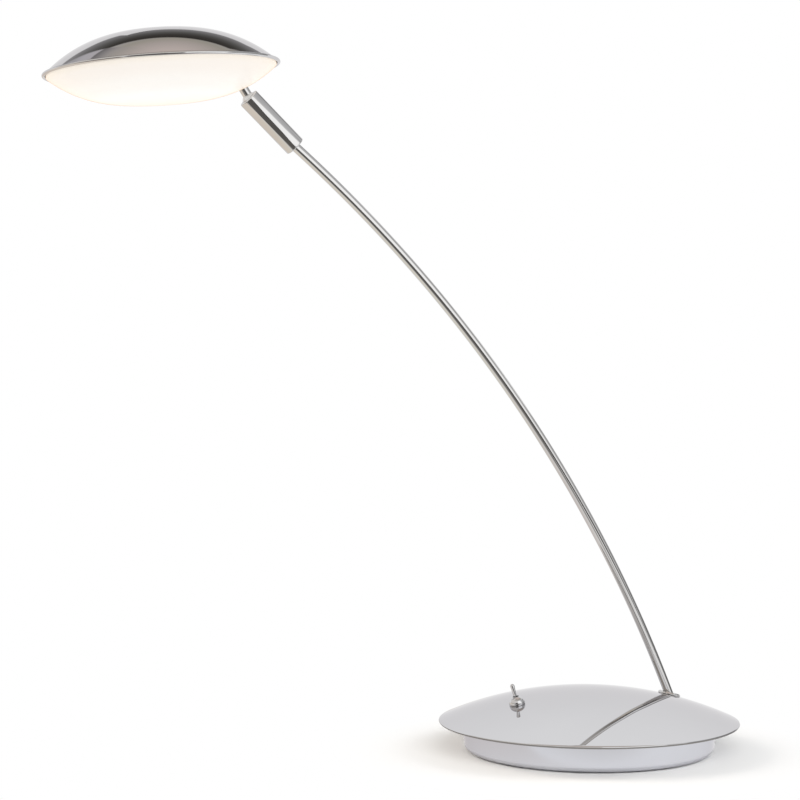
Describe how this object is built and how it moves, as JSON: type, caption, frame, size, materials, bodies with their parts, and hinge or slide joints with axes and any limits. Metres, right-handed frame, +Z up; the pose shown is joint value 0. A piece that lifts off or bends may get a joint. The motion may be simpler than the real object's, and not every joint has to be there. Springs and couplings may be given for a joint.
{
  "type": "desk lamp",
  "caption": "Desk lamp with a domed round weighted base, a toggle switch, an arched tube arm and a lens-shaped lamp head on a ball joint.",
  "frame": {"origin": "middle of the base on the table", "axes": "+Z up, the arm stands in the XZ plane with its foot on the +X side and the head reaching towards -X"},
  "size_m": [0.4655, 0.2, 0.4621],
  "materials": {
    "plate_steel": "satin",
    "drum_metal": "satin",
    "ballast_iron": "rough cast",
    "pad_rubber": "matte",
    "screw_steel": "zinc plated",
    "driver_plastic": "matte",
    "terminal_plastic": "matte",
    "terminal_brass": "plain",
    "inlet_rubber": "matte",
    "switch_chrome": "polished",
    "switch_plastic": "matte",
    "wire_cover": "matte",
    "arm_chrome": "polished",
    "knuckle_chrome": "polished",
    "seat_nylon": "matte",
    "spring_steel": "plain",
    "dish_metal": "satin polished",
    "seal_silicone": "matte",
    "diffuser_opal": "opal, lit from inside",
    "sink_aluminium": "plain",
    "board_white": "white mask",
    "chip_yellow": "phosphor"
  },
  "bodies": {
    "base": {"base_plate": "plate_steel", "base_drum": "drum_metal", "ballast_disc": "ballast_iron", "base_pad": "pad_rubber", "cover_posts": "screw_steel", "cover_screws": "screw_steel", "driver_case": "driver_plastic", "driver_screws": "screw_steel", "terminal_block": "terminal_plastic", "terminal_screws": "terminal_brass", "earth_tag": "terminal_brass", "earth_screw": "screw_steel", "cable_inlet_bush": "inlet_rubber", "switch_bush": "switch_chrome", "switch_dome_nut": "switch_chrome", "switch_washer": "screw_steel", "switch_hex_nut": "screw_steel", "switch_body": "switch_plastic", "switch_blades": "terminal_brass", "switch_wires": "wire_cover", "foot_rosette": "arm_chrome", "foot_bush": "terminal_brass"},
    "arm": {"arm_tube": "arm_chrome", "arm_lead": "wire_cover", "foot_washer": "seat_nylon", "foot_nut": "terminal_brass", "knuckle_sleeve": "knuckle_chrome", "knuckle_plug": "terminal_brass", "adjuster_plug": "terminal_brass", "disc_springs": "spring_steel"},
    "ball_seat": {"ball_seat": "seat_nylon"},
    "head": {"ball_stud": "knuckle_chrome", "head_dish": "dish_metal", "seal_ring": "seal_silicone", "diffuser": "diffuser_opal", "diffuser_clips": "spring_steel", "heat_sink_plate": "sink_aluminium", "dish_posts": "sink_aluminium", "sink_screws": "screw_steel", "stud_block": "sink_aluminium", "stud_grub_screw": "screw_steel", "block_screws": "screw_steel", "led_board": "board_white", "board_screws": "screw_steel", "led_chips": "chip_yellow", "head_terminal": "terminal_plastic", "head_lead": "wire_cover"},
    "switch_lever": {"switch_lever": "switch_chrome"}
  },
  "joints": [
    {"name": "arm_swivel", "type": "hinge", "parent": "base", "child": "arm", "pos_m": [0.0615, 0, 0.03364], "axis": [-0.3851, 0, 0.9229], "range_deg": [-60, 60]},
    {"name": "head_twist", "type": "hinge", "parent": "arm", "child": "ball_seat", "pos_m": [-0.23575, 0, 0.42135], "axis": [-0.728, 0, 0.6856], "range_deg": [-160, 160]},
    {"name": "head_tilt", "type": "hinge", "parent": "ball_seat", "child": "head", "pos_m": [-0.23575, 0, 0.42135], "axis": [0, 1, 0], "range_deg": [-32, 7]},
    {"name": "switch_throw", "type": "hinge", "parent": "base", "child": "switch_lever", "pos_m": [-0.05591, -0.00686, 0.03593], "axis": [0.9744, -0.0064, 0.2249], "range_deg": [0, 22]}
  ]
}
